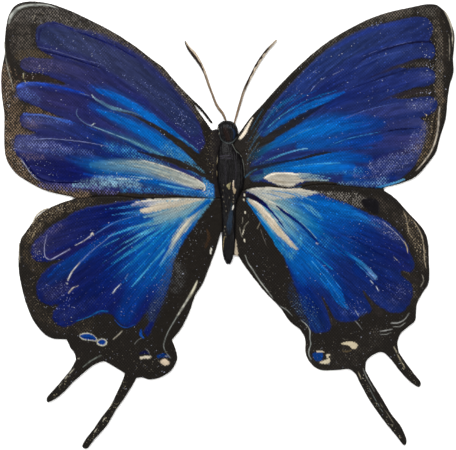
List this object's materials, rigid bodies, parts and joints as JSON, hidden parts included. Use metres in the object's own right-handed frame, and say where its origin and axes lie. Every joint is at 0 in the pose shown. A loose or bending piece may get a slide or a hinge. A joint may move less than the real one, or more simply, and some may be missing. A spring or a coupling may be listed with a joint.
{
  "type": "painted canvas butterfly",
  "caption": "Flat butterfly cut from stiff painted canvas: blue and black fore and hind wings with tails, a raised dark body and thin feelers, made to lie flat or be fixed by its back.",
  "frame": {"origin": "on the back face, under the middle of the thorax", "axes": "+Z out of the painted face, +Y towards the head, +X towards the wing on the right as seen from the front"},
  "size_m": [0.2272, 0.2241, 0.0051],
  "materials": {
    "forewing_paint": "satin",
    "hindwing_paint": "satin",
    "body_paint": "satin",
    "feeler_paint": "matte"
  },
  "bodies": {
    "root": {"left_forewing": "forewing_paint", "right_forewing": "forewing_paint", "left_hindwing": "hindwing_paint", "right_hindwing": "hindwing_paint", "body": "body_paint", "left_antenna": "feeler_paint", "right_antenna": "feeler_paint"}
  },
  "joints": []
}
